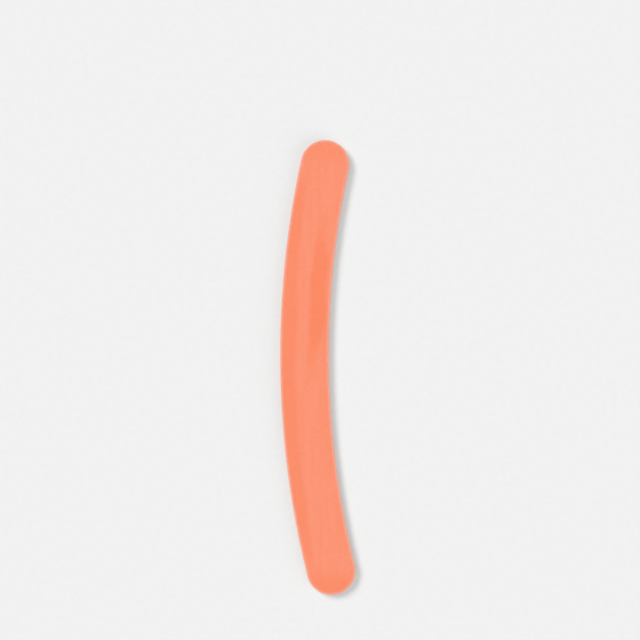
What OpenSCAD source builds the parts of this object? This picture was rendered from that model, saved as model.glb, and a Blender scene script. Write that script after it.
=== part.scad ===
// Emery board: a curved, foam-cored nail file with a bonded grit face on both sides.
// The board lies flat on its back face. X runs across it, Y along it and Z up through its layers.
// The origin is at the middle of the footprint, on the back face. All sizes are millimetres.

/* [Outline] */
// Length of the board from tip to tip
board_length = 178; // [120:1:220]
// Width of the board, the same all along it, with full round ends
board_width = 19.1; // [14:0.1:30]
// Radius that the middle line of the board is bent to
bend_radius = 348.5; // [200:0.5:900]

/* [Layers] */
// Thickness of the stiff plastic strip in the middle
core_t = 0.8; // [0.4:0.05:1.6]
// Thickness of the cushion foam in front of the core
front_foam_t = 1.08; // [0.7:0.02:2.4]
// Thickness of the cushion foam behind the core
back_foam_t = 1.08; // [0.7:0.02:2.4]
// Thickness of each film of laminating adhesive
tape_t = 0.08; // [0.04:0.01:0.14]
// Thickness of the backing paper under the grit
paper_t = 0.22; // [0.12:0.01:0.36]
// Thickness of the fine grit coat on the front face
front_grit_t = 0.12; // [0.06:0.01:0.24]
// Thickness of the coarser grit coat on the back face
back_grit_t = 0.16; // [0.08:0.01:0.28]

/* [Cut edge] */
// Width of the rim that the cutting die rolls down round the front face
front_roll_w = 0.7; // [0.3:0.05:0.8]
// Radius of the foam under the rolled front rim
front_roll_r = 0.88; // [0.85:0.01:2.4]
// Width of the sharper rim round the back face, where the die leaves the board
back_roll_w = 0.45; // [0.2:0.05:0.6]
// Radius of the foam under the back rim
back_roll_r = 0.68; // [0.6:0.01:2.4]
// How far the die knocks the grit back from the edge of its paper
grit_setback = 0.15; // [0.05:0.01:0.3]
// How far the corners of the foam draw back from the cut edge
foam_setback = 0.04; // [0.02:0.01:0.08]
// Depth of the dished foam edge, halfway up the foam
foam_dish = 0.13; // [0.1:0.01:0.3]

/* [Hidden] */

// Facets for the long edges, the end rounds and the small radii of the cut edge
edge_fn = 720;
end_fn = 120;
rim_fn = 72;

// The ends are full rounds, so their middles lie half a board width inside the tips
end_r = board_width / 2;
end_angle = asin((board_length / 2 - end_r) / bend_radius);
footprint_middle = bend_radius * (1 + cos(end_angle)) / 2;

// Heights of the foam faces above the core, going outwards, then the heights of the core and the whole board
front_foam_top = tape_t + front_foam_t;
back_foam_top = tape_t + back_foam_t;
core_bottom_z = back_foam_top + tape_t + paper_t + back_grit_t;
core_top_z = core_bottom_z + core_t;
board_t = core_top_z + front_foam_top + tape_t + paper_t + front_grit_t;

// How far a cut reaches past the material it cuts, and how many degrees each half runs past the middle
clear = 1;
past_middle = 1;

// Area under a surface at height top, from the middle line at x = 0 out to the cut edge at x = end_r.
// Its rim rolls down over roll_w on the given radius.
module under_rolled(top, roll_w, roll_r) {
    difference() {
        square([end_r, top]);
        translate([end_r - roll_w, top - roll_r])
            difference() {
                square([roll_w + clear, roll_r + clear]);
                circle(r = roll_r, $fn = rim_fn);
            }
    }
}

// Section of a sheet of thickness t that is laid over the rolled foam and over what is already on it.
// below_t is what lies between the foam and this sheet, and setback what is missing at the cut edge.
module sheet_section(foam_top, roll_w, roll_r, below_t, t, setback = 0) {
    bottom = foam_top + below_t;
    difference() {
        under_rolled(bottom + t, roll_w, roll_r + below_t + t);
        under_rolled(bottom, roll_w, roll_r + below_t);
        translate([end_r - setback, 0])
            square([setback + clear, bottom + t]);
    }
}

// Section of the foam, from the core's adhesive up to its rolled top, with its dished cut edge
module foam_section(foam_top, roll_w, roll_r) {
    edge_top = foam_top - roll_r + sqrt(pow(roll_r, 2) - pow(roll_w, 2));
    half_height = (edge_top - tape_t) / 2;
    dish_depth = foam_dish - foam_setback;
    dish_r = (pow(half_height, 2) + pow(dish_depth, 2)) / (2 * dish_depth);
    difference() {
        under_rolled(foam_top, roll_w, roll_r);
        translate([-clear, -clear])
            square([end_r + 2 * clear, clear + tape_t]);
        translate([end_r + dish_r - foam_dish, tape_t + half_height])
            circle(r = dish_r, $fn = rim_fn);
        translate([end_r - foam_setback, -clear])
            square([foam_setback + clear, foam_top + 2 * clear]);
    }
}

// Section of a flat film that starts at height z
module film_section(z, t) {
    translate([0, z])
        square([end_r, t]);
}

// Puts a section drawn outwards from the core on the front of the core
module on_front() {
    translate([0, core_top_z])
        children();
}

// Puts a section drawn outwards from the core on the back of the core
module on_back() {
    translate([0, core_bottom_z])
        mirror([0, 1])
            children();
}

// Carries a section along half the board, round the centre of the bend at the origin.
// The bent length and the end round both start from the plane y = 0, where their sections meet exactly.
module half_swept() {
    rotate_extrude(angle = end_angle + past_middle, $fn = edge_fn)
        translate([bend_radius, 0]) {
            children();
            mirror([1, 0])
                children();
        }
    translate([bend_radius, 0, 0])
        rotate([0, 0, 180])
            rotate_extrude(angle = 180, $fn = end_fn)
                children();
}

// Carries a section round the whole board, as two mirrored halves that meet in the middle plane
module swept() {
    translate([footprint_middle, 0, 0])
        for (half = [0, 1])
            mirror([0, half, 0])
                difference() {
                    mirror([1, 0, 0])
                        rotate([0, 0, -end_angle])
                            half_swept()
                                children();
                    translate([-bend_radius - board_width, 0, -clear])
                        cube([bend_radius, board_length, board_t + 2 * clear]);
                }
}

module core_strip() {
    color("whitesmoke")
        swept()
            film_section(core_bottom_z, core_t);
}

module front_core_tape() {
    color("lightyellow")
        swept()
            on_front()
                film_section(0, tape_t);
}

module front_foam() {
    color("white")
        swept()
            on_front()
                foam_section(front_foam_top, front_roll_w, front_roll_r);
}

module front_face_tape() {
    color("lightyellow")
        swept()
            on_front()
                sheet_section(front_foam_top, front_roll_w, front_roll_r, 0, tape_t);
}

module front_paper() {
    color("mistyrose")
        swept()
            on_front()
                sheet_section(front_foam_top, front_roll_w, front_roll_r, tape_t, paper_t);
}

module front_grit_coat() {
    color([0.99, 0.58, 0.45])
        swept()
            on_front()
                sheet_section(front_foam_top, front_roll_w, front_roll_r,
                    tape_t + paper_t, front_grit_t, grit_setback);
}

module back_core_tape() {
    color("lightyellow")
        swept()
            on_back()
                film_section(0, tape_t);
}

module back_foam() {
    color("white")
        swept()
            on_back()
                foam_section(back_foam_top, back_roll_w, back_roll_r);
}

module back_face_tape() {
    color("lightyellow")
        swept()
            on_back()
                sheet_section(back_foam_top, back_roll_w, back_roll_r, 0, tape_t);
}

module back_paper() {
    color("mistyrose")
        swept()
            on_back()
                sheet_section(back_foam_top, back_roll_w, back_roll_r, tape_t, paper_t);
}

module back_grit_coat() {
    color([0.99, 0.56, 0.43])
        swept()
            on_back()
                sheet_section(back_foam_top, back_roll_w, back_roll_r,
                    tape_t + paper_t, back_grit_t, grit_setback);
}

core_strip();
front_core_tape();
front_foam();
front_face_tape();
front_paper();
front_grit_coat();
back_core_tape();
back_foam();
back_face_tape();
back_paper();
back_grit_coat();
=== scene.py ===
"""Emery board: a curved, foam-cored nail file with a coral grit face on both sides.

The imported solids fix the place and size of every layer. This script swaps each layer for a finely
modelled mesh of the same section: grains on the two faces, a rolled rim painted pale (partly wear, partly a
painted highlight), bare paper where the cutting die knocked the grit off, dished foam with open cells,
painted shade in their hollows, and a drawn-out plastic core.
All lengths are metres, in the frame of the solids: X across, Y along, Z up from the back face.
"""
import sys
import logging
import math
from abc import ABC, abstractmethod
from dataclasses import dataclass, field
from enum import Enum

import bpy
import numpy as np
from mathutils import Euler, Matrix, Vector


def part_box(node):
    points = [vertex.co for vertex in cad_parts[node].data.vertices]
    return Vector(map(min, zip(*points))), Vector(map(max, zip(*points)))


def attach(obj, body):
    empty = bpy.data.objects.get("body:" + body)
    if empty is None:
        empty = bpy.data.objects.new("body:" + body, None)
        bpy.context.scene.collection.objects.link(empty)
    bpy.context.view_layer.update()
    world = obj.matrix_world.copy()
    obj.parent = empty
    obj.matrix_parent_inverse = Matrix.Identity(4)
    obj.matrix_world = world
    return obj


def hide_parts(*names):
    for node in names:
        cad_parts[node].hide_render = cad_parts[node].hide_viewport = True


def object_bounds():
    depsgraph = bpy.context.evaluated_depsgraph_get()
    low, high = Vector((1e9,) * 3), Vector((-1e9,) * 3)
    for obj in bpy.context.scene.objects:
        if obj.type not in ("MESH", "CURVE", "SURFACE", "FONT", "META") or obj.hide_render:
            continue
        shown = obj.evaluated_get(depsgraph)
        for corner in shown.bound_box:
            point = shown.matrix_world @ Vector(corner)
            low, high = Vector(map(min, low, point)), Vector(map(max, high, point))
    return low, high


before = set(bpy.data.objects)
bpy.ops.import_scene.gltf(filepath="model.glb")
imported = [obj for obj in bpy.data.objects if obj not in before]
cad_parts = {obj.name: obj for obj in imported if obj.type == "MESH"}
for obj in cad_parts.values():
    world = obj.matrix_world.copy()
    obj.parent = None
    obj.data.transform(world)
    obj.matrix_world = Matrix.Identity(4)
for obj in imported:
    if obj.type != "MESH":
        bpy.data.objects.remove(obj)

LOG = logging.getLogger("emery_board")
MM = 0.001
BODY = "root"
CORE_NODE = "core_strip"
CAD_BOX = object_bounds()

Axes = tuple[float, float, float]
Colour = tuple[float, float, float]
Span = tuple[float, float]
Ring = tuple[np.ndarray, np.ndarray]
Socket = bpy.types.NodeSocket
Texture = bpy.types.ShaderNode

# Numbers that each mesh holds at its points: how far inside the cut edge, and where across the board
INSET_MM = "inset_mm"
ACROSS = "across"

# Sockets of a Mix node that mixes colours, where several share one name
MIX_FIRST = 6
MIX_SECOND = 7
MIX_RESULT = 2

# Middle of a random value that runs from 0 to 1, and where most values of a noise texture lie
MIDDLE = 0.5
NOISE_SPREAD = (0.3, 0.7)

# Places across the board that lie past its edges, for bands that run off the face there
PAST_HOLLOW_EDGE = -1.3
PAST_BULGING_EDGE = 1.3


class Side(Enum):
    """The two faces of the board, each with the direction in which its layers are stacked."""

    FRONT = 1
    BACK = -1

    @property
    def word(self) -> str:
        """The side's name, as the names of its pieces and solids start."""
        return self.name.lower()

    def reach(self, node: str) -> float:
        """Gives how far a solid reaches outwards on this side, from the plane z = 0."""
        low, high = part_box(node)
        return high[2] if self is Side.FRONT else -low[2]


class Slot(Enum):
    """The record's material slots."""

    FRONT_GRIT = "front_grit"
    BACK_GRIT = "back_grit"
    PAPER = "backing_paper"
    ADHESIVE = "adhesive"
    FOAM = "foam"
    CORE = "core"


class Draw(Enum):
    """The random draws of one face, each with its own share of the seed."""

    CORE_OOZE = 1
    FOAM_CELLS = 2
    FACE_OOZE = 3
    PAPER_FUZZ = 4
    GRAINS = 5
    CHIPS = 6


class Op(Enum):
    """The arithmetic that the finishes use, as the Math node names it."""

    ADD = "ADD"
    SUBTRACT = "SUBTRACT"
    MULTIPLY = "MULTIPLY"
    DIVIDE = "DIVIDE"
    ABSOLUTE = "ABSOLUTE"


class CellReach(Enum):
    """What a cell texture's distance is measured to, as Blender names it."""

    MIDDLE = "F1"
    WALL = "DISTANCE_TO_EDGE"


@dataclass(frozen=True)
class Outline:
    """The die-cut outline: a strip of constant width on a bent middle line, with full round ends."""

    length: float = CAD_BOX[1][1] - CAD_BOX[0][1]
    width: float = 19.1 * MM
    bend_radius: float = 348.5 * MM
    step: float = 0.21 * MM

    @property
    def half_width(self) -> float:
        """Distance from the middle line to the cut edge."""
        return self.width / 2

    @property
    def end_angle(self) -> float:
        """Angle at the centre of the bend between the waist and the middle of an end round."""
        return math.asin((self.length / 2 - self.half_width) / self.bend_radius)

    @property
    def bend_centre_x(self) -> float:
        """Place of the centre of the bend, with the footprint's middle at the origin."""
        return self.bend_radius * (1 + math.cos(self.end_angle)) / 2

    @property
    def long_steps(self) -> int:
        """Mesh steps along one long edge."""
        return round(2 * self.end_angle * self.bend_radius / self.step)

    @property
    def end_steps(self) -> int:
        """Mesh steps round one end."""
        return round(math.pi * self.half_width / self.step)

    @property
    def count(self) -> int:
        """Mesh points in one closed ring."""
        return 2 * (self.long_steps + self.end_steps)

    def bend_angles(self) -> np.ndarray:
        """Gives the angles of the mesh rows at the centre of the bend, from the bottom end to the top."""
        return np.linspace(-self.end_angle, self.end_angle, self.long_steps + 1)

    def ring(self, inset: np.ndarray) -> np.ndarray:
        """Gives the points of one ring, anticlockwise seen from the front.

        Args:
            inset: Distance inside the cut edge of each point of the ring.

        Returns:
            An array of X and Y, one row for each point.
        """
        bend = self.bend_angles()
        reach = self.half_width - inset
        long_n, end_n = self.long_steps, self.end_steps
        inner = slice(0, long_n)
        top = slice(long_n, long_n + end_n)
        outer = slice(long_n + end_n, 2 * long_n + end_n)
        bottom = slice(2 * long_n + end_n, self.count)
        points = np.empty((self.count, 2))
        # Up along the hollow edge, and down again along the bulging one
        for part, angles, side in ((inner, bend[:-1], -1), (outer, bend[:0:-1], 1)):
            radius = self.bend_radius + side * reach[part]
            points[part, 0] = self.bend_centre_x - radius * np.cos(angles)
            points[part, 1] = radius * np.sin(angles)
        turn = np.linspace(0, math.pi, end_n + 1)[:-1]
        end_x = self.bend_centre_x - self.bend_radius * math.cos(self.end_angle)
        end_y = self.bend_radius * math.sin(self.end_angle)
        for part, start, side in ((top, -self.end_angle, 1), (bottom, math.pi + self.end_angle, -1)):
            points[part, 0] = end_x + reach[part] * np.cos(start + turn)
            points[part, 1] = side * end_y + reach[part] * np.sin(start + turn)
        return points

    def perimeter(self) -> np.ndarray:
        """Measures along the cut edge.

        Returns:
            The distance of each point of a ring from the first.
        """
        edge = self.ring(np.zeros(self.count))
        steps = np.hypot(*(np.roll(edge, -1, axis=0) - edge).T)
        return np.concatenate(([0], np.cumsum(steps)[:-1]))

    def spine(self) -> np.ndarray:
        """Gives the points of the middle line, from the bottom end to the top.

        Returns:
            An array of X and Y, one row for each point.
        """
        bend = self.bend_angles()
        x = self.bend_centre_x - self.bend_radius * np.cos(bend)
        return np.column_stack((x, self.bend_radius * np.sin(bend)))

    def spine_of_ring(self) -> np.ndarray:
        """Pairs a ring with the spine.

        Returns:
            For each point of a ring, and for the first one again, the number of its spine point.
        """
        long_n, end_n = self.long_steps, self.end_steps
        up = np.arange(long_n)
        down = np.arange(long_n, 0, -1)
        return np.concatenate((up, np.full(end_n, long_n), down, np.zeros(end_n, int), [0]))

    def across(self, points: np.ndarray) -> np.ndarray:
        """Gives each point's signed distance from the middle line, from -1 to 1 at the long edges.

        Args:
            points: An array of X and Y.

        Returns:
            One value a point, positive towards the bulging edge.
        """
        radius = np.hypot(self.bend_centre_x - points[:, 0], points[:, 1])
        return np.clip((radius - self.bend_radius) / self.half_width, -1, 1)


@dataclass(frozen=True)
class Relief:
    """A seeded, repeatable height field made of square lattices of random values."""

    seed: int
    pitches: tuple[float, ...]
    weights: tuple[float, ...]
    lattice: int = 512

    def sample(self, x: np.ndarray, y: np.ndarray) -> np.ndarray:
        """Reads the field.

        Args:
            x: First coordinate of each point, in metres.
            y: Second coordinate of each point, in metres.

        Returns:
            A value from 0 to 1 for each point.
        """
        draw = np.random.default_rng(self.seed)
        total = np.zeros(len(x))
        for pitch, weight in zip(self.pitches, self.weights):
            values = draw.random((self.lattice, self.lattice))
            u, v = x / pitch, y / pitch
            col, row = np.floor(u).astype(int), np.floor(v).astype(int)
            fu, fv = u - col, v - row
            near = values[row % self.lattice, col % self.lattice]
            right = values[row % self.lattice, (col + 1) % self.lattice]
            above = values[(row + 1) % self.lattice, col % self.lattice]
            far = values[(row + 1) % self.lattice, (col + 1) % self.lattice]
            low = near + (right - near) * fu
            high = above + (far - above) * fu
            total += weight * (low + (high - low) * fv)
        return total / sum(self.weights)

    def along(self, run: np.ndarray) -> np.ndarray:
        """Reads the field at distances along one line."""
        return self.sample(run, np.zeros_like(run))


@dataclass(frozen=True)
class Roll:
    """The way a face turns down over its rim, where the cutting die pressed it."""

    width: float
    foam_radius: float

    def drop(self, inset: np.ndarray, over_foam: float) -> np.ndarray:
        """Gives how far a surface has turned down.

        Args:
            inset: Distance inside the cut edge.
            over_foam: Height of the surface above the foam's own face.

        Returns:
            The drop below the flat of the face, at each inset.
        """
        radius = self.foam_radius + over_foam
        run = np.clip(self.width - inset, 0, None)
        return radius - np.sqrt(radius**2 - run**2)


@dataclass(frozen=True)
class Layers:
    """Thickness of each layer on one face of the core."""

    tape: float
    foam: float
    paper: float
    grit: float

    @classmethod
    def of_side(cls, side: Side) -> "Layers":
        """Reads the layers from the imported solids.

        Args:
            side: The face of the board.

        Returns:
            The thicknesses, from how far outwards each solid reaches past the one before.
        """
        names = ("core_tape", "foam", "face_tape", "paper", "grit_coat")
        tops = [side.reach(CORE_NODE)] + [side.reach(f"{side.word}_{name}") for name in names]
        tape, foam, _, paper, grit = (high - low for low, high in zip(tops, tops[1:]))
        return cls(tape, foam, paper, grit)

    @property
    def foam_top(self) -> float:
        """Height of the foam's face above the core."""
        return self.tape + self.foam


@dataclass
class Loft:
    """Builds one closed layer as rings that follow the outline, from the core side outwards."""

    outline: Outline
    side: Side
    face_z: float
    rings: list[Ring] = field(default_factory=list)

    def add(self, inset: float | np.ndarray, height: float | np.ndarray) -> None:
        """Adds a ring.

        Args:
            inset: Distance inside the cut edge, for the ring or for each of its points.
            height: Height above the core's face, for the ring or for each of its points.
        """
        ones = np.ones(self.outline.count)
        self.rings.append((inset * ones, height * ones))

    def build(self, name: str, low_spine: float, high_spine: float | np.ndarray) -> bpy.types.Object:
        """Joins the rings and closes them along the middle line.

        Args:
            name: Name of the piece.
            low_spine: Height of the middle line on the core side.
            high_spine: Height of the middle line on the outer side.

        Returns:
            The finished object, with its inset and its place across the board as attributes.
        """
        plan = self.outline
        spine = plan.spine()
        ones = np.ones(len(spine))
        rows = [(spine, plan.half_width * ones, low_spine * ones)]
        rows += [(plan.ring(inset), inset, height) for inset, height in self.rings]
        rows += [(spine, plan.half_width * ones, high_spine * ones)]
        xy, inset, height = (np.concatenate(column) for column in zip(*rows))
        points = np.column_stack((xy, self.face_z + self.side.value * height))

        mesh = bpy.data.meshes.new(name)
        mesh.from_pydata(points.tolist(), [], self._faces())
        for label, values in ((INSET_MM, inset / MM), (ACROSS, plan.across(xy))):
            mesh.attributes.new(label, "FLOAT", "POINT").data.foreach_set("value", values)
        mesh.validate()
        piece = bpy.data.objects.new(name, mesh)
        bpy.context.scene.collection.objects.link(piece)
        return piece

    def _faces(self) -> list[tuple[int, ...]]:
        """Joins the low spine to the first ring, each ring to the next and the last to the high spine.

        Returns:
            The corners of each face. Where a spine ends they are triangles.
        """
        plan = self.outline
        here = np.arange(plan.count)
        after = (here + 1) % plan.count
        to_spine = plan.spine_of_ring()
        first = plan.long_steps + 1
        last = first + (len(self.rings) - 1) * plan.count
        high = last + plan.count
        strips = [(to_spine[:-1], to_spine[1:], first + after, first + here)]
        for start in range(first, last, plan.count):
            following = start + plan.count
            strips.append((start + here, start + after, following + after, following + here))
        strips.append((last + here, last + after, high + to_spine[1:], high + to_spine[:-1]))
        quads = np.concatenate([np.column_stack(strip) for strip in strips])
        if self.side is Side.BACK:
            quads = quads[:, ::-1]
        return [tuple(dict.fromkeys(quad)) for quad in quads.tolist()]


@dataclass
class Graph:
    """A material and its node tree, with short calls for what the finishes share."""

    name: str
    material: bpy.types.Material = field(init=False)
    shader: bpy.types.ShaderNode = field(init=False)

    def __post_init__(self) -> None:
        """Makes the empty material around one principled shader."""
        self.material = bpy.data.materials.new(self.name)
        self.material.use_nodes = True
        self.shader = self.material.node_tree.nodes["Principled BSDF"]

    def node(self, kind: str, **settings: object) -> bpy.types.ShaderNode:
        """Adds a node.

        Args:
            kind: The node's type, without its ShaderNode prefix.
            settings: Properties of the node by name.

        Returns:
            The new node.
        """
        made = self.material.node_tree.nodes.new("ShaderNode" + kind)
        for key, value in settings.items():
            setattr(made, key, value)
        return made

    def link(self, source: Socket, target: Socket) -> None:
        """Links an output to an input."""
        self.material.node_tree.links.new(source, target)

    def place(self, scale: Axes = (1, 1, 1)) -> Socket:
        """Gives the object's own coordinates.

        Args:
            scale: Factor along each axis.

        Returns:
            The coordinates in metres, times the factors.
        """
        mapping = self.node("Mapping", vector_type="POINT")
        mapping.inputs["Scale"].default_value = scale
        self.link(self.node("TexCoord").outputs["Object"], mapping.inputs["Vector"])
        return mapping.outputs["Vector"]

    def noise(self, pitch: float, detail: float = 2, stretch: Axes = (1, 1, 1)) -> Socket:
        """Adds a noise texture.

        Args:
            pitch: Distance between its features, in metres.
            detail: Octaves of finer noise in it.
            stretch: Factor on the frequency along each axis.

        Returns:
            Its value, from 0 to 1.
        """
        texture = self.node("TexNoise")
        texture.inputs["Scale"].default_value = 1 / pitch
        texture.inputs["Detail"].default_value = detail
        self.link(self.place(stretch), texture.inputs["Vector"])
        return texture.outputs["Fac"]

    def cells(self, pitch: float, reach: CellReach = CellReach.MIDDLE) -> Texture:
        """Adds a texture of irregular cells.

        Args:
            pitch: Distance between its cells, in metres.
            reach: What its distance is measured to.

        Returns:
            The texture's node.
        """
        texture = self.node("TexVoronoi", feature=reach.value)
        texture.inputs["Scale"].default_value = 1 / pitch
        self.link(self.place(), texture.inputs["Vector"])
        return texture

    def chances(self, cells: Texture) -> Texture:
        """Gives each cell three random values.

        Args:
            cells: A texture of cells.

        Returns:
            A node whose outputs Red, Green and Blue run from 0 to 1.
        """
        parts = self.node("SeparateColor")
        self.link(cells.outputs["Color"], parts.inputs["Color"])
        return parts

    def tilted(self, cells: Texture, pitch: float) -> Socket:
        """Gives each cell a flat facet with a slope of its own.

        Args:
            cells: A texture of cells.
            pitch: Distance between its cells, in metres.

        Returns:
            Heights about zero, in cell pitches.
        """
        from_middle = self.node("VectorMath", operation=Op.SUBTRACT.value)
        self.link(self.place(), from_middle.inputs[0])
        self.link(cells.outputs["Position"], from_middle.inputs[1])
        lean = self.node("VectorMath", operation=Op.SUBTRACT.value)
        self.link(cells.outputs["Color"], lean.inputs[0])
        lean.inputs[1].default_value = (MIDDLE, MIDDLE, MIDDLE)
        slope = self.node("VectorMath", operation="DOT_PRODUCT")
        self.link(from_middle.outputs["Vector"], slope.inputs[0])
        self.link(lean.outputs["Vector"], slope.inputs[1])
        return self.maths(Op.DIVIDE, slope.outputs["Value"], pitch)

    def ramp(self, value: Socket, span: Span, result: Span = (0, 1)) -> Socket:
        """Maps a value smoothly from one range to another and holds it at the ends.

        Args:
            value: The value to map.
            span: Where the mapping starts and ends.
            result: What it gives at its start and end.

        Returns:
            The mapped value.
        """
        mapped = self.node("MapRange", interpolation_type="SMOOTHSTEP")
        for name, number in zip(("From Min", "From Max", "To Min", "To Max"), (*span, *result)):
            mapped.inputs[name].default_value = number
        self.link(value, mapped.inputs["Value"])
        return mapped.outputs["Result"]

    def axis(self, name: str) -> Socket:
        """Gives one of the object's own coordinates.

        Args:
            name: X, Y or Z.

        Returns:
            The coordinate in metres.
        """
        parts = self.node("SeparateXYZ")
        self.link(self.place(), parts.inputs["Vector"])
        return parts.outputs[name]

    def attribute(self, name: str) -> Socket:
        """Reads a number that the mesh holds at its points."""
        return self.node("Attribute", attribute_name=name).outputs["Fac"]

    def maths(self, operation: Op, first: Socket, second: Socket | float = 0.0) -> Socket:
        """Works out one value from another, or from two.

        Args:
            operation: What is worked out.
            first: The first value.
            second: The second value, or a plain number, where the operation takes one.

        Returns:
            The result.
        """
        made = self.node("Math", operation=operation.value)
        self.link(first, made.inputs[0])
        if isinstance(second, Socket):
            self.link(second, made.inputs[1])
        else:
            made.inputs[1].default_value = second
        return made.outputs["Value"]

    def weighted(self, first: Socket, first_share: float, second: Socket, second_share: float) -> Socket:
        """Adds a share of one value to a share of another.

        Args:
            first: One value.
            first_share: The factor on it.
            second: The other value.
            second_share: The factor on the other.

        Returns:
            The sum.
        """
        scaled = self.maths(Op.MULTIPLY, first, first_share)
        return self.maths(Op.ADD, scaled, self.maths(Op.MULTIPLY, second, second_share))

    def union(self, first: Socket, second: Socket) -> Socket:
        """Joins two masks.

        Args:
            first: One mask, from 0 to 1.
            second: The other mask, from 0 to 1.

        Returns:
            A mask that covers what either covers, and never goes past 1.
        """
        overlap = self.maths(Op.MULTIPLY, first, second)
        return self.maths(Op.SUBTRACT, self.maths(Op.ADD, first, second), overlap)

    def mix(self, factor: Socket, first: Socket | Colour, second: Socket | Colour) -> Socket:
        """Mixes two colours.

        Args:
            factor: How much of the second colour shows.
            first: A colour, or the output that gives one.
            second: The other colour, or the output that gives it.

        Returns:
            The mixed colour.
        """
        made = self.node("Mix", data_type="RGBA")
        self.link(factor, made.inputs["Factor"])
        for number, colour in ((MIX_FIRST, first), (MIX_SECOND, second)):
            if isinstance(colour, Socket):
                self.link(colour, made.inputs[number])
            else:
                made.inputs[number].default_value = (*colour, 1)
        return made.outputs[MIX_RESULT]

    def bump(self, height: Socket, depth: float, strength: float = 1) -> None:
        """Adds a bump under those already on the shader.

        Args:
            height: Height field from 0 to 1.
            depth: Real height, in metres, of a step from 0 to 1.
            strength: How much of the bump is used.
        """
        made = self.node("Bump")
        made.inputs["Strength"].default_value = strength
        made.inputs["Distance"].default_value = depth
        self.link(height, made.inputs["Height"])
        before = self.shader.inputs["Normal"]
        if before.is_linked:
            self.link(before.links[0].from_socket, made.inputs["Normal"])
        self.link(made.outputs["Normal"], before)

    def finish(self, colour: Socket, roughness: Socket, specular: float) -> bpy.types.Material:
        """Sends the colour and the gloss to the shader.

        Args:
            colour: The surface's colour.
            roughness: The surface's roughness.
            specular: The shader's specular level, where 0.5 is plain plastic.

        Returns:
            The finished material.
        """
        self.link(colour, self.shader.inputs["Base Color"])
        self.link(roughness, self.shader.inputs["Roughness"])
        self.shader.inputs["Specular IOR Level"].default_value = specular
        return self.material


class Finish(ABC):
    """A surface finish, which makes its own material."""

    @abstractmethod
    def material(self) -> bpy.types.Material:
        """Makes the material."""


@dataclass(frozen=True)
class WarmBand:
    """A lengthwise band of a face that is painted warmer and darker. On the front the bands, with the paler
    face between them, are a painted reflection.

    Its sides are places across the board, from -1 at the hollow edge to 1 at the bulging one.
    Towards its ends the side at start moves in by taper.
    """

    start: float
    stop: float
    softness: float
    strength: float
    middle_y: float = 0.0
    reach: float = 70 * MM
    fade: float = 12 * MM
    taper: float = 0.0
    straight_share: float = 0.3

    def mask(self, g: Graph, across: Socket) -> Socket:
        """Makes the band's mask.

        Args:
            g: The material that it is for.
            across: Place across the board, from -1 to 1.

        Returns:
            The band's strength at each point.
        """
        along = g.maths(Op.ABSOLUTE, g.maths(Op.SUBTRACT, g.axis("Y"), self.middle_y))
        drawn_in = g.ramp(along, (self.straight_share * self.reach, self.reach), (0, self.taper))
        near_start = g.maths(Op.SUBTRACT, across, drawn_in)
        rise = g.ramp(near_start, (self.start - self.softness, self.start + self.softness))
        fall = g.ramp(across, (self.stop - self.softness, self.stop + self.softness), (1, 0))
        ends = g.ramp(along, (self.reach - self.fade, self.reach + self.fade), (self.strength, 0))
        return g.maths(Op.MULTIPLY, g.maths(Op.MULTIPLY, rise, fall), ends)


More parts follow.
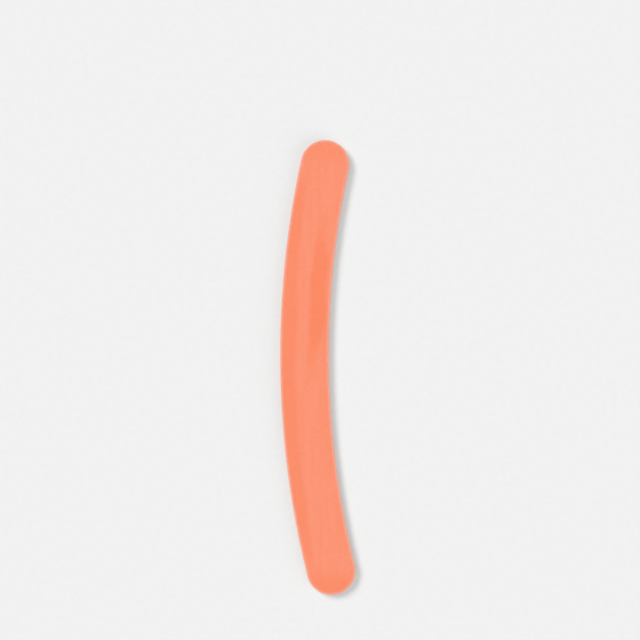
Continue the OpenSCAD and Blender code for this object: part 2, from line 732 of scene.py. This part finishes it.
@dataclass(frozen=True)
class GritFinish(Finish):
    """Mineral grains bonded in coral resin, with painted shade between them and painted glints, and a rim
    painted pale: partly wear where the cutting die pressed it, partly a highlight.
    """

    name: str
    grain: float
    bite: float
    bands: tuple[WarmBand, ...]

    # Colours of the coat, of the warm streaks and bands, of the painted shade between the grains, of the rim
    # (painted pale: partly wear, partly a highlight) and of the painted glints
    resin: Colour = (0.987, 0.278, 0.160)
    tip: Colour = (0.994, 0.362, 0.226)
    warm_resin: Colour = (0.987, 0.211, 0.087)
    warm_tip: Colour = (0.994, 0.295, 0.153)
    painted_gap_shade: Colour = (0.945, 0.219, 0.107)
    worn: Colour = (0.945, 0.418, 0.322)
    painted_glint: Colour = (0.992, 0.60, 0.49)

    # Where the grains' tips stand bare of resin
    mottle: float = 1.1 * MM
    clump: float = 0.5 * MM
    grain_share: float = 0.8
    tip_span: Span = (0.3, 0.9)

    # Streaks along the board, and how far the sides of the bands wander across it
    streak: float = 7 * MM
    streak_stretch: Axes = (5, 0.3, 1)
    streak_span: Span = (0.35, 0.75)
    streak_strength: float = 0.22
    wander: float = 16 * MM
    wander_span: Span = (0.25, 0.75)
    wander_reach: float = 0.07

    # Painted shade in the gaps between the grains, and painted glints on the few grains that catch the light
    painted_gap_shade_width: float = 0.14
    painted_gap_shade_strength: float = 0.5
    painted_glint_span: Span = (0.95, 0.98)
    painted_glint_strength: float = 0.3

    # Rim painted pale, partly wear and partly a highlight, by distance inside the cut edge
    worn_span_mm: Span = (0.45, 1.0)
    worn_strength: float = 0.95
    worn_ragged_mm: float = 0.15
    worn_by_grain_mm: float = 0.32

    # Gloss and relief of the grains
    gloss: Span = (0.55, 0.95)
    facet: float = 2.0
    gap_width: float = 0.3
    gap_depth: float = 0.12
    bump_strength: float = 0.7
    specular: float = 0.15

    def material(self) -> bpy.types.Material:
        """Makes the material.

        Returns:
            A material with faceted grains, warm bands, lengthwise streaks, painted shade between the grains,
            painted glints and a rim painted pale, partly as wear and partly as a highlight.
        """
        g = Graph(self.name)
        grains = g.cells(self.grain)
        chances = g.chances(grains)
        gaps = g.cells(self.grain, CellReach.WALL).outputs["Distance"]
        mottle = g.noise(self.mottle, detail=3)
        # Warm streaks, and warm bands that on the front are a painted reflection
        warmth = self._warm_streaks_and_bands(g)
        resin = g.mix(warmth, self.resin, self.warm_resin)
        tip = g.mix(warmth, self.tip, self.warm_tip)
        tone = g.mix(self._tips(g, chances, mottle), resin, tip)
        # Painted shade in the gaps between the grains
        tone = g.mix(g.ramp(gaps, (0, self.painted_gap_shade_width), (self.painted_gap_shade_strength, 0)), tone, self.painted_gap_shade)
        # Painted glints: a few grains painted paler, as highlights
        painted_glints = g.ramp(chances.outputs["Green"], self.painted_glint_span, (0, self.painted_glint_strength))
        tone = g.mix(painted_glints, tone, self.painted_glint)
        # Rim painted pale: partly wear, partly a painted highlight along the roll
        tone = g.mix(self._rim_wear_and_highlight(g, chances, mottle), tone, self.worn)
        facets = g.maths(Op.MULTIPLY, g.tilted(grains, self.grain), self.facet)
        valleys = g.ramp(gaps, (0, self.gap_width), (0, self.gap_depth))
        g.bump(g.maths(Op.ADD, facets, valleys), self.bite, self.bump_strength)
        return g.finish(tone, g.ramp(chances.outputs["Blue"], (0, 1), self.gloss), self.specular)

    def _tips(self, g: Graph, chances: Texture, mottle: Socket) -> Socket:
        """Finds the grains whose tips stand bare of resin.

        Args:
            g: The material.
            chances: Random values of each grain.
            mottle: Slow noise that the tips follow.

        Returns:
            How much of the tips' colour shows at each point.
        """
        clumps = g.maths(Op.ADD, g.noise(self.clump, detail=1), mottle)
        lit = g.weighted(chances.outputs["Red"], self.grain_share, clumps, 1 - self.grain_share)
        return g.ramp(lit, self.tip_span)

    def _warm_streaks_and_bands(self, g: Graph) -> Socket:
        """Finds the streaks where the roller laid the coat thicker, and the warm bands, which on the front
        are a painted reflection.

        Args:
            g: The material.

        Returns:
            How much of the warm colour shows at each point, from 0 to 1.
        """
        streaks = g.noise(self.streak, stretch=self.streak_stretch)
        warmth = g.ramp(streaks, self.streak_span, (0, self.streak_strength))
        drift = g.ramp(g.noise(self.wander), self.wander_span, (-self.wander_reach, self.wander_reach))
        across = g.maths(Op.ADD, g.attribute(ACROSS), drift)
        for band in self.bands:
            warmth = g.union(warmth, band.mask(g, across))
        return warmth

    def _rim_wear_and_highlight(self, g: Graph, chances: Texture, mottle: Socket) -> Socket:
        """Finds the rim painted pale, grain by grain: partly wear where the die crushed the grains, partly a
        painted highlight along the roll.

        Args:
            g: The material.
            chances: Random values of each grain, so that the pale rim breaks up grain by grain.
            mottle: Slow noise that makes the pale rim ragged.

        Returns:
            How much of the pale rim colour, wear and painted highlight, shows at each point.
        """
        ragged, by_grain = self.worn_ragged_mm, self.worn_by_grain_mm
        inset = g.maths(Op.ADD, g.attribute(INSET_MM), g.ramp(mottle, NOISE_SPREAD, (-ragged, ragged)))
        inset = g.maths(Op.ADD, inset, g.ramp(chances.outputs["Blue"], (0, 1), (-by_grain, by_grain)))
        return g.ramp(inset, self.worn_span_mm, (self.worn_strength, 0))


@dataclass(frozen=True)
class PaperFinish(Finish):
    """Latex-filled backing paper, tinted by the resin that soaked into it."""

    name: str = "backing_paper"
    tinted: Colour = (0.90, 0.43, 0.32)
    bare: Colour = (0.93, 0.61, 0.51)
    fibre: float = 0.12 * MM
    fibre_stretch: Axes = (1, 0.4, 1.6)
    fibre_share: float = 0.6
    blotch: float = 1.6 * MM
    blotch_share: float = 0.5
    tint_span: Span = (0.35, 0.8)
    gloss: Span = (0.75, 0.95)
    specular: float = 0.25
    tooth: float = 0.02 * MM
    bump_strength: float = 0.7

    def material(self) -> bpy.types.Material:
        """Makes the material.

        Returns:
            A material with fibres along the paper and blotches of soaked-in resin.
        """
        g = Graph(self.name)
        fibres = g.noise(self.fibre, detail=4, stretch=self.fibre_stretch)
        soaked = g.weighted(fibres, self.fibre_share, g.noise(self.blotch), self.blotch_share)
        tone = g.mix(g.ramp(soaked, self.tint_span), self.tinted, self.bare)
        g.bump(fibres, self.tooth, self.bump_strength)
        return g.finish(tone, g.ramp(fibres, NOISE_SPREAD, self.gloss), self.specular)


@dataclass(frozen=True)
class FoamFinish(Finish):
    """White closed-cell foam, with the cut cells open at its edge and painted shade in their hollows."""

    name: str = "cushion_foam"
    skin: Colour = (0.90, 0.885, 0.865)
    # Painted shade: the darker colour inside the open cells
    hollow: Colour = (0.70, 0.665, 0.635)
    dust: Colour = (0.93, 0.50, 0.38)
    cell: float = 0.17 * MM
    cell_span: Span = (0.15, 0.6)
    small_cell: float = 0.0935 * MM
    small_cell_span: Span = (0.1, 0.6)
    small_cell_depth: float = 0.4
    speck: float = 0.1 * MM
    speck_cloud: float = 3 * MM
    cloud_share: float = 0.4
    speck_span: Span = (0.86, 0.96)
    speck_strength: float = 0.7
    shine: float = 0.8 * MM
    gloss: Span = (0.8, 0.95)
    specular: float = 0.3
    depth: float = 0.05 * MM
    bump_strength: float = 0.8

    def material(self) -> bpy.types.Material:
        """Makes the material.

        Returns:
            A material with round cells in two sizes, painted shade in their hollows, and specks of dust off
            the grit.
        """
        g = Graph(self.name)
        large = g.ramp(g.cells(self.cell).outputs["Distance"], self.cell_span)
        small = g.cells(self.small_cell).outputs["Distance"]
        small = g.ramp(small, self.small_cell_span, (1 - self.small_cell_depth, 1))
        walls = g.maths(Op.MULTIPLY, large, small)
        # Painted shade in the cell hollows, the skin colour on the walls
        tone = g.mix(walls, self.hollow, self.skin)
        clouds = g.maths(Op.MULTIPLY, g.noise(self.speck_cloud), self.cloud_share)
        specks = g.maths(Op.ADD, g.noise(self.speck), clouds)
        tone = g.mix(g.ramp(specks, self.speck_span, (0, self.speck_strength)), tone, self.dust)
        g.bump(walls, self.depth, self.bump_strength)
        return g.finish(tone, g.ramp(g.noise(self.shine), NOISE_SPREAD, self.gloss), self.specular)


@dataclass(frozen=True)
class AdhesiveFinish(Finish):
    """A thin film of laminating adhesive, faintly amber where it shows at the edge."""

    name: str = "laminating_adhesive"
    clear: Colour = (0.80, 0.75, 0.66)
    dusty: Colour = (0.62, 0.55, 0.48)
    smear: float = 0.35 * MM
    dust_span: Span = (0.45, 0.7)
    dulling_span: Span = (0.4, 0.7)
    gloss: Span = (0.28, 0.7)
    specular: float = 0.5
    depth: float = 0.02 * MM
    bump_strength: float = 0.5

    def material(self) -> bpy.types.Material:
        """Makes the material.

        Returns:
            A material that is glossy where it is clean and dull where dust stuck to it.
        """
        g = Graph(self.name)
        dust = g.noise(self.smear, detail=4)
        tone = g.mix(g.ramp(dust, self.dust_span), self.clear, self.dusty)
        g.bump(dust, self.depth, self.bump_strength)
        return g.finish(tone, g.ramp(dust, self.dulling_span, self.gloss), self.specular)


@dataclass(frozen=True)
class CoreFinish(Finish):
    """White polystyrene sheet, drawn by the die into fine upright lines along its cut edge."""

    name: str = "polystyrene_core"
    body: Colour = (0.86, 0.855, 0.84)
    stressed: Colour = (0.93, 0.925, 0.915)
    line: float = 0.11 * MM
    line_stretch: Axes = (1, 1, 0.06)
    patch: float = 2.2 * MM
    line_share: float = 0.5
    stress_span: Span = (0.38, 0.62)
    gloss: Span = (0.3, 0.5)
    specular: float = 0.5
    depth: float = 0.03 * MM
    bump_strength: float = 0.7

    def material(self) -> bpy.types.Material:
        """Makes the material.

        Returns:
            A material with upright tool lines and stress-whitened patches.
        """
        g = Graph(self.name)
        lines = g.noise(self.line, stretch=self.line_stretch)
        patches = g.noise(self.patch, detail=3)
        stress = g.weighted(lines, self.line_share, patches, 1 - self.line_share)
        g.bump(lines, self.depth, self.bump_strength)
        tone = g.mix(g.ramp(stress, self.stress_span), self.body, self.stressed)
        return g.finish(tone, g.ramp(patches, NOISE_SPREAD, self.gloss), self.specular)


@dataclass(frozen=True)
class FloorFinish(Finish):
    """Plain matt studio paper, with the faint tooth of card."""

    name: str = "studio_floor"
    paper: Colour = (0.85, 0.85, 0.85)
    shade: Colour = (0.837, 0.837, 0.837)
    tooth: float = 2 * MM
    gloss: Span = (0.94, 0.96)
    specular: float = 0.0

    def material(self) -> bpy.types.Material:
        """Makes the material.

        Returns:
            A material with no shine, so that it looks alike from above and along it.
        """
        g = Graph(self.name)
        tooth = g.noise(self.tooth, detail=3)
        tone = g.mix(g.ramp(tooth, NOISE_SPREAD), self.paper, self.shade)
        return g.finish(tone, g.ramp(tooth, NOISE_SPREAD, self.gloss), self.specular)


@dataclass
class Dresser:
    """Gives finished pieces their slot's material and their body, and hides the solid that each one
    replaces.
    """

    materials: dict[Slot, bpy.types.Material] = field(default_factory=dict)

    def dress(
        self, piece: bpy.types.Object, node: str, slot: Slot, finish: Finish, crisp_angle: float
    ) -> bpy.types.Object:
        """Finishes one piece.

        Args:
            piece: The piece's object.
            node: The CAD node that it stands for.
            slot: The record's material slot.
            finish: What makes the slot's material, the first time that the slot is used.
            crisp_angle: Edges that turn by more than this many degrees stay sharp.

        Returns:
            The same object.
        """
        if slot not in self.materials:
            self.materials[slot] = finish.material()
        piece.data.materials.append(self.materials[slot])
        piece.data.shade_smooth()
        piece.data.set_sharp_from_angle(angle=math.radians(crisp_angle))
        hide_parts(node)
        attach(piece, BODY)
        faces, drift = len(piece.data.polygons), self._drift(piece, node)
        LOG.info("%s: %d faces, at most %.3f mm from the box of its solid", piece.name, faces, drift / MM)
        return piece

    @staticmethod
    def _drift(piece: bpy.types.Object, node: str) -> float:
        """Compares a piece's box with its solid's.

        Args:
            piece: The piece's object.
            node: The CAD node that it stands for.

        Returns:
            The largest difference between two matching sides.
        """
        points = np.empty(len(piece.data.vertices) * 3)
        piece.data.vertices.foreach_get("co", points)
        points = points.reshape(-1, 3)
        low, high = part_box(node)
        ours = (*points.min(0), *points.max(0))
        return max(abs(a - b) for a, b in zip(ours, (*low, *high)))


@dataclass
class Core:
    """The stiff plastic strip in the middle of the laminate."""

    outline: Outline
    bottom_z: float = -Side.BACK.reach(CORE_NODE)
    top_z: float = Side.FRONT.reach(CORE_NODE)
    shoulder: float = 2 * MM
    bevel: float = 0.03 * MM
    ripple: float = 0.012 * MM
    seed: int = 11
    line_pitches: tuple[float, ...] = (0.22 * MM, 0.6 * MM)
    line_weights: tuple[float, ...] = (1.0, 1.0)
    heights: tuple[float, ...] = (0.05, 0.25, 0.5, 0.75, 0.95)
    crisp_angle: float = 40

    def build(self, dresser: Dresser) -> bpy.types.Object:
        """Makes the strip, with a die-cut edge that is drawn a little hollow.

        Args:
            dresser: Gives the piece its finish.

        Returns:
            The finished piece.
        """
        thickness = self.top_z - self.bottom_z
        strip = Loft(self.outline, Side.FRONT, self.bottom_z)
        run = self.outline.perimeter()
        lines = Relief(self.seed, self.line_pitches, self.line_weights)
        strip.add(self.shoulder, 0)
        strip.add(self.bevel, 0)
        for share in self.heights:
            height = share * thickness
            strip.add(self.ripple * lines.sample(run, np.full_like(run, height)), height)
        strip.add(self.bevel, thickness)
        strip.add(self.shoulder, thickness)
        piece = strip.build("core_plate", 0, thickness)
        return dresser.dress(piece, CORE_NODE, Slot.CORE, CoreFinish(), self.crisp_angle)


@dataclass
class FaceStack:
    """What is laminated on one face of the core: adhesive, foam, adhesive, paper and grit."""

    side: Side
    outline: Outline
    core_face_z: float
    layers: Layers
    grit: GritFinish
    grit_slot: Slot
    grain_relief: float
    roll: Roll
    seed: int

    # The cut edge, as the solids have it
    grit_setback: float = 0.15 * MM
    foam_setback: float = 0.04 * MM
    foam_dish: float = 0.13 * MM

    # Rings of the meshes: on the flat faces, up the dished foam and over the roll
    shoulder: float = 1 * MM
    dish_rings: int = 11
    rim_rings: int = 9
    rim_crowding: float = 0.9
    foam_rim_start: int = 2

    # Adhesive that oozes out of the edge
    ooze: float = 0.02 * MM
    ooze_waist: float = 0.6
    ooze_pitches: tuple[float, ...] = (0.5 * MM, 1.7 * MM)
    ooze_weights: tuple[float, ...] = (1.0, 1.0)

    # Open cells in the edge of the foam
    pit: float = 0.05 * MM
    pit_level: float = 0.35
    pit_shallowing: float = 0.7
    cell_pitches: tuple[float, ...] = (0.19 * MM, 0.33 * MM)
    cell_weights: tuple[float, ...] = (1.0, 0.8)

    # Fuzz on the edge of the paper
    fuzz: float = 0.012 * MM
    fuzz_pitches: tuple[float, ...] = (0.22 * MM, 0.9 * MM)
    fuzz_weights: tuple[float, ...] = (1.0, 1.0)

    # Grains on the coat, and chips out of its edge
    grain_pitches: tuple[float, ...] = (0.24 * MM, 0.41 * MM, 1.3 * MM)
    grain_weights: tuple[float, ...] = (1.0, 0.7, 0.35)
    chip: float = 0.10 * MM
    chip_pitches: tuple[float, ...] = (0.3 * MM, 1.1 * MM)
    chip_weights: tuple[float, ...] = (1.0, 0.8)

    # The coat's own rings: where its underside starts, its broken edge and the first ring on top
    coat_start: float = 0.24 * MM
    coat_bevel: float = 0.04 * MM
    coat_bevel_drop: float = 0.35
    coat_first_ring: float = 0.12 * MM

    # Edges that turn by more than these many degrees stay sharp
    cut_angle: float = 40
    foam_angle: float = 60
    grain_angle: float = 14

    def build(self, dresser: Dresser) -> list[bpy.types.Object]:
        """Makes the whole stack, from the core outwards.

        Args:
            dresser: Gives the pieces their finishes.

        Returns:
            The five finished pieces.
        """
        makers = (self.core_adhesive, self.cushion, self.face_adhesive, self.backing, self.grit_coat)
        return [make(dresser) for make in makers]

    def core_adhesive(self, dresser: Dresser) -> bpy.types.Object:
        """Makes the adhesive between core and foam, squeezed out unevenly at the edge.

        Args:
            dresser: Gives the piece its finish.

        Returns:
            The finished piece.
        """
        tape = self.layers.tape
        ooze = self.ooze * self._edge_noise(Draw.CORE_OOZE, self.ooze_pitches, self.ooze_weights)
        film = self._loft()
        film.add(self.shoulder, 0)
        film.add(ooze, 0)
        film.add(self.ooze_waist * ooze, tape / 2)
        film.add(ooze, tape)
        film.add(self.shoulder, tape)
        piece = film.build(f"{self.side.word}_core_adhesive", 0, tape)
        return dresser.dress(piece, self._node("core_tape"), Slot.ADHESIVE, AdhesiveFinish(), self.cut_angle)

    def cushion(self, dresser: Dresser) -> bpy.types.Object:
        """Makes the foam, with a dished cut edge and the pits of its open cells.

        Args:
            dresser: Gives the piece its finish.

        Returns:
            The finished piece.
        """
        tape = self.layers.tape
        corner = float(self._surface(np.array(0.0), 0.0))
        half = (corner - tape) / 2
        depth = self.foam_dish - self.foam_setback
        radius = (half**2 + depth**2) / (2 * depth)
        run = self.outline.perimeter()
        cells = Relief(self.seed + Draw.FOAM_CELLS.value, self.cell_pitches, self.cell_weights)
        layer = self._loft()
        layer.add(self.shoulder, tape)
        for share in np.linspace(-1, 1, self.dish_rings):
            height = tape + half * (1 + share)
            dish = self.foam_dish - (radius - math.sqrt(radius**2 - (share * half) ** 2))
            pits = cells.sample(run, np.full_like(run, height)) - self.pit_level
            pit_depth = self.pit * (1 - self.pit_shallowing * abs(share))
            layer.add(dish + pit_depth * pits, height)
        for inset in self._rim_insets()[self.foam_rim_start:]:
            layer.add(inset, self._surface(inset, 0))
        piece = layer.build(f"{self.side.word}_cushion", tape, self.layers.foam_top)
        dresser.dress(piece, self._node("foam"), Slot.FOAM, FoamFinish(), self.foam_angle)
        return piece

    def face_adhesive(self, dresser: Dresser) -> bpy.types.Object:
        """Makes the adhesive between foam and paper.

        Args:
            dresser: Gives the piece its finish.

        Returns:
            The finished piece.
        """
        ooze = self.ooze * self._edge_noise(Draw.FACE_OOZE, self.ooze_pitches, self.ooze_weights)
        piece = self._sheet("face_adhesive", 0, self.layers.tape, ooze)
        return dresser.dress(piece, self._node("face_tape"), Slot.ADHESIVE, AdhesiveFinish(), self.cut_angle)

    def backing(self, dresser: Dresser) -> bpy.types.Object:
        """Makes the backing paper, with the slight fuzz of its cut edge.

        Args:
            dresser: Gives the piece its finish.

        Returns:
            The finished piece.
        """
        fuzz = self.fuzz * self._edge_noise(Draw.PAPER_FUZZ, self.fuzz_pitches, self.fuzz_weights)
        piece = self._sheet("backing", self.layers.tape, self.layers.paper, fuzz)
        return dresser.dress(piece, self._node("paper"), Slot.PAPER, PaperFinish(), self.cut_angle)

    def grit_coat(self, dresser: Dresser) -> bpy.types.Object:
        """Makes the grit coat, with its grains as relief and its edge chipped by the die.

        Args:
            dresser: Gives the piece its finish.

        Returns:
            The finished piece.
        """
        plan = self.outline
        under = self.layers.tape + self.layers.paper
        top = under + self.layers.grit
        chips = self._edge_noise(Draw.CHIPS, self.chip_pitches, self.chip_weights)
        edge = self.grit_setback + self.chip * (chips - MIDDLE)
        coat = self._loft()
        for inset in self._rim_insets()[:0:-1]:
            if inset > self.coat_start:
                coat.add(inset, self._surface(inset, under))
        coat.add(edge, self._surface(edge, under))
        bevel = edge + self.coat_bevel
        coat.add(bevel, self._surface(bevel, top - self.coat_bevel_drop * self.layers.grit))
        first = self.grit_setback + self.coat_first_ring
        rings = round((plan.half_width - first) / plan.step)
        for inset in np.linspace(first, plan.half_width, rings + 1)[:-1]:
            level = np.full(plan.count, inset)
            coat.add(level, self._surface(level, top) - self._bite(plan.ring(level)))
        crest = self.layers.foam_top + top - self._bite(plan.spine())
        piece = coat.build(f"{self.side.word}_grit", self.layers.foam_top + under, crest)
        return dresser.dress(piece, self._node("grit_coat"), self.grit_slot, self.grit, self.grain_angle)

    def _node(self, layer: str) -> str:
        """Gives the name of the CAD node that holds a layer of this side."""
        return f"{self.side.word}_{layer}"

    def _loft(self) -> Loft:
        """Starts an empty layer on this side of the core."""
        return Loft(self.outline, self.side, self.core_face_z)

    def _surface(self, inset: np.ndarray, over_foam: float) -> np.ndarray:
        """Gives the height of a surface that lies over_foam above the foam, rolled down at the rim."""
        return self.layers.foam_top + over_foam - self.roll.drop(inset, over_foam)

    def _rim_insets(self) -> np.ndarray:
        """Gives the insets of the rings that follow the roll, from the cut edge inwards."""
        return self.roll.width * np.linspace(0, 1, self.rim_rings) ** self.rim_crowding

    def _edge_noise(self, draw: Draw, pitches: tuple[float, ...], weights: tuple[float, ...]) -> np.ndarray:
        """Gives a random value from 0 to 1 at each point of the cut edge."""
        return Relief(self.seed + draw.value, pitches, weights).along(self.outline.perimeter())

    def _bite(self, points: np.ndarray) -> np.ndarray:
        """Gives how far the grains' surface lies below their tips, at points of X and Y."""
        grains = Relief(self.seed + Draw.GRAINS.value, self.grain_pitches, self.grain_weights)
        return self.grain_relief * (1 - grains.sample(*points.T))

    def _sheet(self, name: str, below: float, thickness: float, wander: np.ndarray) -> bpy.types.Object:
        """Makes a sheet that lies over the foam and what is already on it.

        Args:
            name: Name of the piece after that of its side.
            below: What lies between the foam and the sheet.
            thickness: Thickness of the sheet.
            wander: How far the cut edge draws back at each point of a ring.

        Returns:
            The sheet's object.
        """
        top = below + thickness
        sheet = self._loft()
        insets = self._rim_insets()
        for inset in insets[:0:-1]:
            sheet.add(inset, self._surface(inset, below))
        sheet.add(wander, self._surface(wander, below))
        sheet.add(wander, self._surface(wander, top))
        for inset in insets[1:]:
            sheet.add(inset, self._surface(inset, top))
        foam_top = self.layers.foam_top
        return sheet.build(f"{self.side.word}_{name}", foam_top + below, foam_top + top)


@dataclass(frozen=True)
class Lamp:
    """A soft lamp that is as good as infinitely far away, with its angles in degrees."""

    name: str
    strength: float
    spread: float
    tilt: float
    turn: float

    def place(self) -> None:
        """Adds the lamp to the scene."""
        lamp = bpy.data.lights.new(self.name, "SUN")
        lamp.energy = self.strength
        lamp.angle = math.radians(self.spread)
        holder = bpy.data.objects.new(self.name, lamp)
        holder.rotation_euler = Euler((math.radians(self.tilt), 0, math.radians(self.turn)))
        bpy.context.scene.collection.objects.link(holder)


@dataclass
class Studio:
    """The camera, the lamps and the floor, which aren't part of the board."""

    photo_side_px: int = 640
    board_centre_px: tuple[float, float] = (315.9, 367.2)
    photo_scale: float = 0.3909 * MM
    board_lean: float = math.radians(0.856)
    front_z: float = CAD_BOX[1][2]
    lens_mm: float = 100
    sensor_mm: float = 36
    nearest: float = 0.01
    farthest: float = 20
    key: Lamp = Lamp("key", strength=1.6, spread=28, tilt=40, turn=230)
    fill: Lamp = Lamp("fill", strength=0.85, spread=60, tilt=55, turn=50)
    ambient: float = 0.5
    backdrop: Colour = (0.885, 0.885, 0.885)
    floor_size: float = 6
    floor_gap: float = 0.01 * MM

    def camera(self) -> None:
        """Puts the camera straight over the board, where the photograph was taken from."""
        lens = bpy.data.cameras.new("photo_camera")
        lens.lens = self.lens_mm
        lens.sensor_width = self.sensor_mm
        lens.clip_start = self.nearest
        lens.clip_end = self.farthest
        camera = bpy.data.objects.new("photo_camera", lens)
        bpy.context.scene.collection.objects.link(camera)
        middle_px = (self.photo_side_px - 1) / 2
        right = (middle_px - self.board_centre_px[0]) * self.photo_scale
        up = (self.board_centre_px[1] - middle_px) * self.photo_scale
        distance = self.photo_side_px * self.photo_scale * self.lens_mm / self.sensor_mm
        turn = Euler((0, 0, -self.board_lean))
        camera.rotation_euler = turn
        camera.location = turn.to_matrix() @ Vector((right, up, self.front_z + distance))
        bpy.context.scene.camera = camera

    def surroundings(self) -> None:
        """Makes an even pale world, which the camera and reflections see as the backdrop."""
        world = bpy.data.worlds.new("studio")
        bpy.context.scene.world = world
        world.use_nodes = True
        nodes, links = world.node_tree.nodes, world.node_tree.links
        nodes.clear()
        path = nodes.new("ShaderNodeLightPath")
        seen = nodes.new("ShaderNodeMath")
        seen.operation = "MAXIMUM"
        links.new(path.outputs["Is Camera Ray"], seen.inputs[0])
        links.new(path.outputs["Is Glossy Ray"], seen.inputs[1])
        light = nodes.new("ShaderNodeBackground")
        light.inputs["Color"].default_value = (1, 1, 1, 1)
        light.inputs["Strength"].default_value = self.ambient
        backdrop = nodes.new("ShaderNodeBackground")
        backdrop.inputs["Color"].default_value = (*self.backdrop, 1)
        choice = nodes.new("ShaderNodeMixShader")
        links.new(seen.outputs["Value"], choice.inputs["Fac"])
        links.new(light.outputs["Background"], choice.inputs[1])
        links.new(backdrop.outputs["Background"], choice.inputs[2])
        links.new(choice.outputs["Shader"], nodes.new("ShaderNodeOutputWorld").inputs["Surface"])

    def floor(self) -> None:
        """Lays the floor just under the board's back face."""
        half, z = self.floor_size / 2, -self.floor_gap
        corners = [(-half, -half, z), (half, -half, z), (half, half, z), (-half, half, z)]
        mesh = bpy.data.meshes.new("floor")
        mesh.from_pydata(corners, [], [(0, 1, 2, 3)])
        mesh.materials.append(FloorFinish().material())
        plane = bpy.data.objects.new("floor", mesh)
        bpy.context.scene.collection.objects.link(plane)

    def build(self) -> None:
        """Makes the whole studio and sets the plain view transform."""
        self.camera()
        self.key.place()
        self.fill.place()
        self.surroundings()
        self.floor()
        bpy.context.scene.view_settings.view_transform = "Standard"


@dataclass
class EmeryBoard:
    """The whole board: the plastic core, and what is laminated on its two faces."""

    outline: Outline = Outline()
    front_roll: Roll = Roll(width=0.7 * MM, foam_radius=0.88 * MM)
    back_roll: Roll = Roll(width=0.45 * MM, foam_radius=0.68 * MM)
    front_relief: float = 0.055 * MM
    back_relief: float = 0.09 * MM
    front_seed: int = 100
    back_seed: int = 200

    def fine_grit(self) -> GritFinish:
        """Describes the front's fine grit, with the warm bands and warm ends that the photograph shows,
        painted in as a reflection.

        Returns:
            The finish of the front face.
        """
        # Painted reflection: warm bands and warm ends, with the face between them left paler
        bulging_edge = WarmBand(
            start=0.37, stop=PAST_BULGING_EDGE, softness=0.09, strength=0.62,
            middle_y=-1 * MM, reach=75 * MM, fade=8 * MM, taper=0.2,
        )
        hollow_edge = WarmBand(
            start=-0.8, stop=-0.16, softness=0.1, strength=0.9,
            middle_y=28 * MM, reach=26 * MM, fade=14 * MM, taper=0.3,
        )
        hollow_rim = WarmBand(start=PAST_HOLLOW_EDGE, stop=-0.6, softness=0.2, strength=0.1)
        top_end = WarmBand(
            start=PAST_HOLLOW_EDGE, stop=PAST_BULGING_EDGE, softness=0.1, strength=0.4,
            middle_y=89 * MM, reach=8 * MM, fade=4 * MM,
        )
        bottom_end = WarmBand(
            start=PAST_HOLLOW_EDGE, stop=PAST_BULGING_EDGE, softness=0.1, strength=0.7,
            middle_y=-89 * MM, reach=7.5 * MM, fade=4 * MM,
        )
        bands = (bulging_edge, hollow_edge, hollow_rim, top_end, bottom_end)
        return GritFinish("fine_coral_grit", grain=0.1 * MM, bite=0.04 * MM, bands=bands)

    def coarse_grit(self) -> GritFinish:
        """Describes the back's coarser grit.

        Returns:
            The finish of the back face.
        """
        hollow_edge = WarmBand(
            start=PAST_HOLLOW_EDGE, stop=-0.42, softness=0.12, strength=0.55, middle_y=-8 * MM
        )
        middle = WarmBand(
            start=0.1, stop=0.6, softness=0.15, strength=0.35,
            middle_y=-30 * MM, reach=34 * MM, fade=20 * MM,
        )
        bands = (hollow_edge, middle)
        return GritFinish("coarse_coral_grit", grain=0.2 * MM, bite=0.09 * MM, bands=bands)

    def build(self, dresser: Dresser) -> None:
        """Makes every piece, from the core outwards.

        Args:
            dresser: Gives the pieces their finishes.
        """
        core = Core(self.outline)
        core.build(dresser)
        front = FaceStack(
            side=Side.FRONT,
            outline=self.outline,
            core_face_z=core.top_z,
            layers=Layers.of_side(Side.FRONT),
            grit=self.fine_grit(),
            grit_slot=Slot.FRONT_GRIT,
            grain_relief=self.front_relief,
            roll=self.front_roll,
            seed=self.front_seed,
        )
        back = FaceStack(
            side=Side.BACK,
            outline=self.outline,
            core_face_z=core.bottom_z,
            layers=Layers.of_side(Side.BACK),
            grit=self.coarse_grit(),
            grit_slot=Slot.BACK_GRIT,
            grain_relief=self.back_relief,
            roll=self.back_roll,
            seed=self.back_seed,
        )
        for stack in (front, back):
            LOG.info("%s stack: %d pieces", stack.side.word, len(stack.build(dresser)))


def main() -> None:
    """Builds the studio and the board."""
    logging.basicConfig(level=logging.INFO, format="%(name)s: %(message)s", stream=sys.stdout)
    Studio().build()
    EmeryBoard().build(Dresser())


if __name__ == "__main__":
    main()
